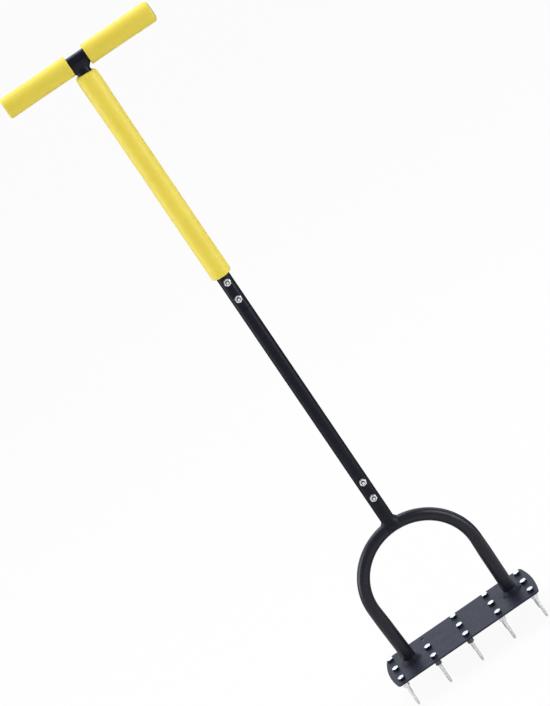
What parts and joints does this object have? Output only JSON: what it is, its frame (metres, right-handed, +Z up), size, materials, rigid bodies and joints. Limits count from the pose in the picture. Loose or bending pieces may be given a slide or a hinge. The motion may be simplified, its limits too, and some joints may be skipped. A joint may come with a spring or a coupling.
{
  "type": "lawn aerator fork",
  "caption": "Hand lawn aerator: foam-covered T-handle and bolted steel shaft on a welded bow, with a flat foot plate that carries a grid of bolt-on spikes.",
  "frame": {"origin": "on the ground under the middle of the foot plate, level with the spike tips", "axes": "+Z up the shaft towards the T-handle, +X to the right along the foot plate and the T-handle, +Y away from the side with the joint nuts"},
  "size_m": [0.2704, 0.108, 1.1344],
  "materials": {
    "tube_coating": "satin",
    "plate_coating": "satin",
    "yellow_foam": "matte",
    "black_plastic": "matte",
    "zinc_plate": "polished",
    "spike_steel": "polished"
  },
  "bodies": {
    "root": {"foot_plate": "plate_coating", "bow_tube": "tube_coating", "bow_weld": "tube_coating", "left_foot_weld": "tube_coating", "right_foot_weld": "tube_coating", "socket_tube": "tube_coating", "middle_tube": "tube_coating", "upper_tube": "tube_coating", "cross_tube": "tube_coating", "handle_weld": "tube_coating", "left_grip": "yellow_foam", "right_grip": "yellow_foam", "shaft_grip": "yellow_foam", "left_end_plug": "black_plastic", "right_end_plug": "black_plastic", "upper_joint_bolts": "zinc_plate", "upper_joint_nuts": "zinc_plate", "lower_joint_bolts": "zinc_plate", "lower_joint_nuts": "zinc_plate", "spikes_front": "spike_steel", "spikes_middle": "spike_steel", "spikes_rear": "spike_steel", "spike_washers_front": "zinc_plate", "spike_washers_middle": "zinc_plate", "spike_washers_rear": "zinc_plate", "spike_spring_washers_front": "zinc_plate", "spike_spring_washers_middle": "zinc_plate", "spike_spring_washers_rear": "zinc_plate", "spike_nuts_front": "zinc_plate", "spike_nuts_middle": "zinc_plate", "spike_nuts_rear": "zinc_plate"}
  },
  "joints": []
}
